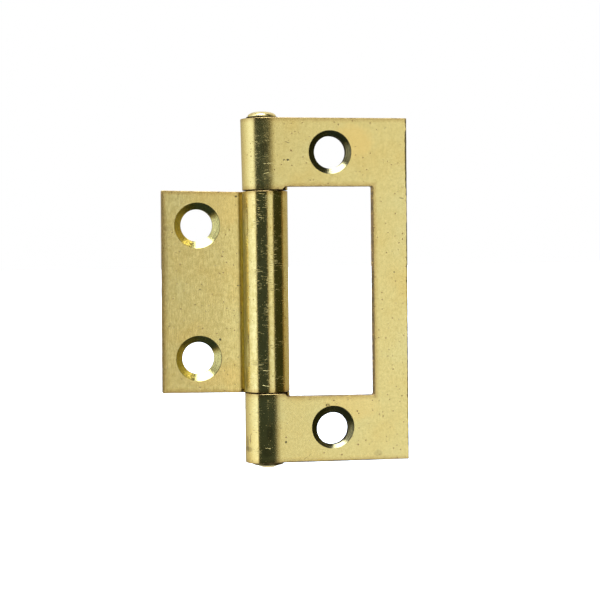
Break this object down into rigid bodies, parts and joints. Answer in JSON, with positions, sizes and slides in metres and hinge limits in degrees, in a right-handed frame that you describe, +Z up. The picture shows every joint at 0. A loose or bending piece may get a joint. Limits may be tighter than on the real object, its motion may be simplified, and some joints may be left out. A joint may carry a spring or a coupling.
{
  "type": "flush hinge",
  "caption": "Pressed flush hinge: a small leaf with a rolled knuckle turns on a headed pin and folds into the window of a frame-shaped leaf; countersunk screw holes.",
  "frame": {"origin": "midway between the outer leaf's screw holes, on its back face", "axes": "+Z up along the pin, +X from the pin across the outer leaf, -Y out of the countersunk faces"},
  "size_m": [0.0357, 0.0068, 0.052],
  "materials": {
    "plated_sheet": "bright plated",
    "plated_pin": "bright plated"
  },
  "bodies": {
    "outer": {"outer_leaf": "plated_sheet", "hinge_pin": "plated_pin"},
    "inner": {"inner_leaf": "plated_sheet"}
  },
  "joints": [
    {"name": "leaf_swing", "type": "hinge", "parent": "outer", "child": "inner", "pos_m": [-0.00925, 0.002, 0], "axis": [0, 0, 1], "range_deg": [-90, 180]}
  ]
}
